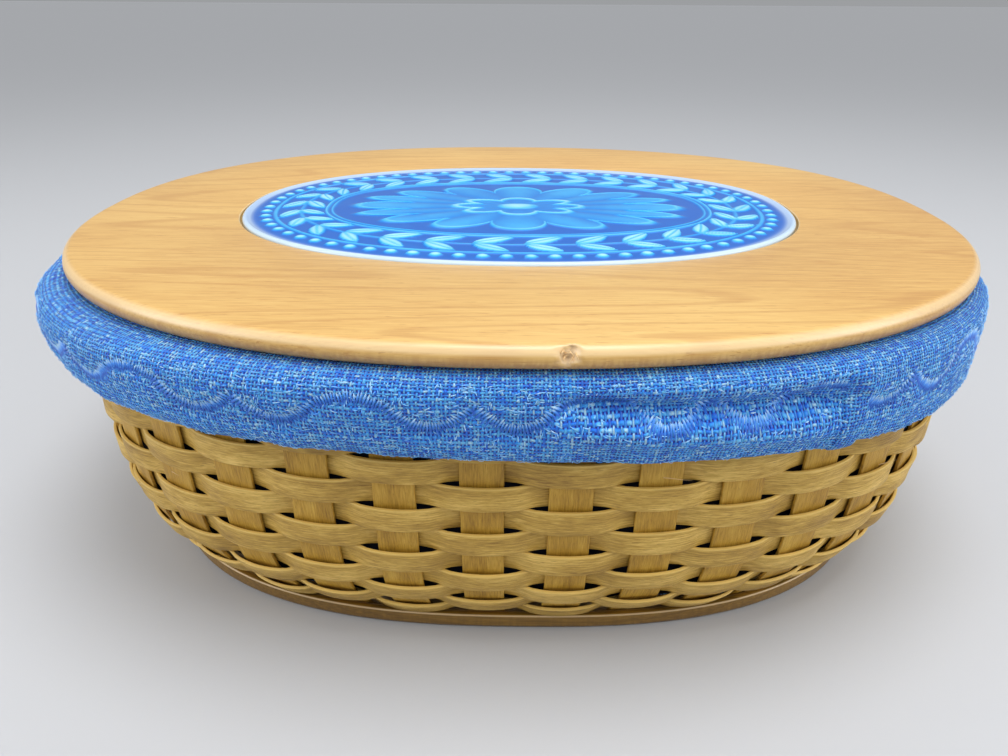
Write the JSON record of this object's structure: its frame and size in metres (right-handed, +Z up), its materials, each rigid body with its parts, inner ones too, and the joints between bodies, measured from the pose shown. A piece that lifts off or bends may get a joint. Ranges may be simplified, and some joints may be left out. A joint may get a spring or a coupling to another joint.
{
  "type": "casserole carrier basket",
  "caption": "Oval woven splint basket on a wooden base with a blue cloth liner cuffed over its rim and a loose wooden lid with an inset glazed tile, for carrying and serving a covered dish.",
  "frame": {"origin": "middle of the base board's underside, on the surface the basket stands on", "axes": "+X along the long axis, +Y from the front to the back, +Z up"},
  "size_m": [0.3922, 0.3272, 0.133],
  "materials": {
    "splint_weaver": "lightly oiled split wood",
    "splint_stake": "lightly oiled split wood",
    "rim_wood": "lightly oiled split wood",
    "base_wood": "satin lacquer",
    "lid_wood": "satin lacquer",
    "liner_cloth": "coarse slub weave",
    "elastic": "braided elastic",
    "tile_glaze": "glossy glaze",
    "tack_brass": "plain"
  },
  "bodies": {
    "basket": {"base_board": "base_wood", "stake_01": "splint_stake", "stake_02": "splint_stake", "stake_03": "splint_stake", "stake_04": "splint_stake", "stake_05": "splint_stake", "stake_06": "splint_stake", "stake_07": "splint_stake", "stake_08": "splint_stake", "stake_09": "splint_stake", "stake_10": "splint_stake", "stake_11": "splint_stake", "stake_12": "splint_stake", "stake_13": "splint_stake", "stake_14": "splint_stake", "stake_15": "splint_stake", "stake_16": "splint_stake", "stake_17": "splint_stake", "stake_18": "splint_stake", "stake_19": "splint_stake", "stake_20": "splint_stake", "stake_21": "splint_stake", "stake_22": "splint_stake", "stake_23": "splint_stake", "stake_24": "splint_stake", "stake_25": "splint_stake", "stake_26": "splint_stake", "stake_27": "splint_stake", "stake_28": "splint_stake", "stake_29": "splint_stake", "stake_30": "splint_stake", "stake_31": "splint_stake", "stake_32": "splint_stake", "stake_33": "splint_stake", "stake_34": "splint_stake", "stake_35": "splint_stake", "stake_36": "splint_stake", "stake_37": "splint_stake", "stake_38": "splint_stake", "weaver_row_01": "splint_weaver", "weaver_row_02": "splint_weaver", "weaver_row_03": "splint_weaver", "weaver_row_04": "splint_weaver", "weaver_row_05": "splint_weaver", "weaver_row_06": "splint_weaver", "weaver_row_07": "splint_weaver", "weaver_row_08": "splint_weaver", "weaver_row_09": "splint_weaver", "weaver_row_10": "splint_weaver", "rim_outer_band": "rim_wood", "rim_inner_band": "rim_wood", "rim_tack_01": "tack_brass", "rim_tack_02": "tack_brass", "liner_floor": "liner_cloth", "liner_wall": "liner_cloth", "liner_cuff": "liner_cloth", "hem_elastic": "elastic"},
    "lid": {"lid_board": "lid_wood"},
    "tile": {"lid_tile": "tile_glaze"}
  },
  "joints": [
    {"name": "lid_lift", "type": "slide", "parent": "basket", "child": "lid", "axis": [0, 0, 1], "range_m": [0, 0.15]},
    {"name": "tile_lift", "type": "slide", "parent": "lid", "child": "tile", "axis": [0, 0, 1], "range_m": [0, 0.03]}
  ]
}
